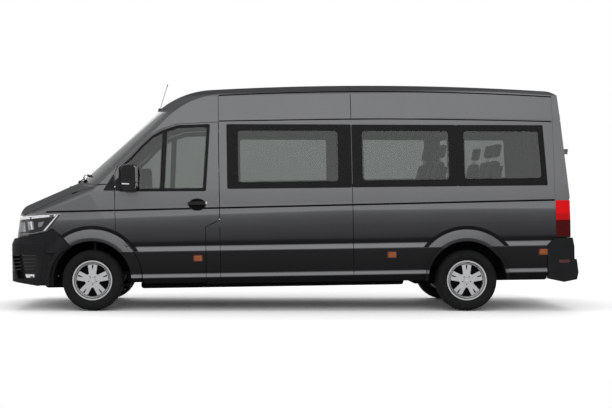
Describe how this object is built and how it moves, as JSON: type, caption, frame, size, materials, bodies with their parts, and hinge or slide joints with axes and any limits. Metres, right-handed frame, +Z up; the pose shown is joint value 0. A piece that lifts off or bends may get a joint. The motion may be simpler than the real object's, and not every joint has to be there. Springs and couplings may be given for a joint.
{
  "type": "minibus",
  "caption": "High-roof long-wheelbase minibus with hollow cabin, glazed sides, hinged front and rear doors, opening bonnet, steered front wheels and rolling wheels.",
  "frame": {"origin": "on the ground under the middle of the vehicle's overall box", "axes": "+X from nose to tail along the ground, +Y to the right-hand side, +Z up"},
  "size_m": [6.84, 2.39, 2.7784],
  "materials": {
    "body_paint": "metallic gloss",
    "glazing": "tinted, polished",
    "windscreen_glass": "polished",
    "black_trim": "fine grain",
    "grille_black": "gloss with bright bars",
    "lamp_clear": "clear lens over reflector",
    "lamp_red": "ribbed red lens",
    "underbody": "satin black",
    "engine_block": "cast",
    "chassis_steel": "satin",
    "wheel_alloy": "painted silver",
    "tyre_rubber": "matt",
    "dash_plastic": "soft grain",
    "seat_fabric": "woven",
    "seat_frame_metal": "satin",
    "tank_plastic": "moulded"
  },
  "bodies": {
    "body": {"floor_pan": "underbody", "left_side_panel": "body_paint", "right_side_panel": "body_paint", "sliding_door": "body_paint", "side_windows": "glazing", "roof_panel": "body_paint", "cab_frame": "body_paint", "windscreen": "windscreen_glass", "front_fenders": "body_paint", "front_bumper": "black_trim", "bumper_inserts": "grille_black", "grille": "grille_black", "headlamps": "lamp_clear", "rear_bumper": "black_trim", "tail_lamps": "lamp_red", "dashboard": "dash_plastic", "seat_frames": "seat_frame_metal", "seat_cushions": "seat_fabric", "seat_backs": "seat_fabric", "engine": "engine_block", "front_subframe": "chassis_steel", "rear_axle": "chassis_steel", "fuel_tank": "tank_plastic", "exhaust": "chassis_steel"},
    "left_front_door_leaf": {"left_front_door": "body_paint", "left_door_window": "glazing", "left_mirror": "black_trim"},
    "right_front_door_leaf": {"right_front_door": "body_paint", "right_door_window": "glazing", "right_mirror": "black_trim"},
    "left_rear_door_leaf": {"left_rear_door": "body_paint", "left_rear_window": "glazing"},
    "right_rear_door_leaf": {"right_rear_door": "body_paint", "right_rear_window": "glazing"},
    "bonnet_leaf": {"bonnet": "body_paint"},
    "steering": {"steering_wheel": "dash_plastic"},
    "left_steered_hub": {"left_knuckle": "chassis_steel"},
    "right_steered_hub": {"right_knuckle": "chassis_steel"},
    "front_left_roadwheel": {"front_left_wheel": "wheel_alloy", "front_left_tyre": "tyre_rubber"},
    "front_right_roadwheel": {"front_right_wheel": "wheel_alloy", "front_right_tyre": "tyre_rubber"},
    "rear_left_roadwheel": {"rear_left_wheel": "wheel_alloy", "rear_left_tyre": "tyre_rubber"},
    "rear_right_roadwheel": {"rear_right_wheel": "wheel_alloy", "rear_right_tyre": "tyre_rubber"}
  },
  "joints": [
    {"name": "left_steer", "type": "hinge", "parent": "body", "child": "left_steered_hub", "pos_m": [-2.401, -0.79, 0.23], "axis": [0, 0.2164, 0.9763], "range_deg": [-35, 35]},
    {"name": "right_steer", "type": "hinge", "parent": "body", "child": "right_steered_hub", "pos_m": [-2.401, 0.79, 0.23], "axis": [0, -0.2164, 0.9763], "range_deg": [-35, 35]},
    {"name": "front_left_spin", "type": "hinge", "parent": "left_steered_hub", "child": "front_left_roadwheel", "pos_m": [-2.401, -0.865, 0.367], "axis": [0, 1, 0], "continuous": true},
    {"name": "front_right_spin", "type": "hinge", "parent": "right_steered_hub", "child": "front_right_roadwheel", "pos_m": [-2.401, 0.865, 0.367], "axis": [0, 1, 0], "continuous": true},
    {"name": "rear_left_spin", "type": "hinge", "parent": "body", "child": "rear_left_roadwheel", "pos_m": [2.089, -0.865, 0.367], "axis": [0, 1, 0], "continuous": true},
    {"name": "rear_right_spin", "type": "hinge", "parent": "body", "child": "rear_right_roadwheel", "pos_m": [2.089, 0.865, 0.367], "axis": [0, 1, 0], "continuous": true},
    {"name": "steering_turn", "type": "hinge", "parent": "body", "child": "steering", "pos_m": [-1.76284, -0.4, 1.3952], "axis": [0.7782, 0, 0.628], "range_deg": [-540, 540]},
    {"name": "left_front_door_hinge", "type": "hinge", "parent": "body", "child": "left_front_door_leaf", "pos_m": [-2.12988, -1.003, 1.20441], "axis": [0.0157, 0, -0.9999], "range_deg": [0, 70]},
    {"name": "right_front_door_hinge", "type": "hinge", "parent": "body", "child": "right_front_door_leaf", "pos_m": [-2.12988, 1.003, 1.20441], "axis": [-0.0157, 0, 0.9999], "range_deg": [0, 70]},
    {"name": "left_rear_door_hinge", "type": "hinge", "parent": "body", "child": "left_rear_door_leaf", "pos_m": [3.33787, -0.803, 1.39031], "axis": [0.0157, 0, -0.9999], "range_deg": [0, 180]},
    {"name": "right_rear_door_hinge", "type": "hinge", "parent": "body", "child": "right_rear_door_leaf", "pos_m": [3.33787, 0.803, 1.39031], "axis": [-0.0157, 0, 0.9999], "range_deg": [0, 180]},
    {"name": "bonnet_hinge", "type": "hinge", "parent": "body", "child": "bonnet_leaf", "pos_m": [-2.31476, 0, 1.51354], "axis": [0, 1, 0], "range_deg": [0, 55]}
  ],
  "couplings": [
    {"joint": "left_steer", "follows": "steering_turn", "ratio": 0.0648},
    {"joint": "right_steer", "follows": "steering_turn", "ratio": 0.0648}
  ]
}
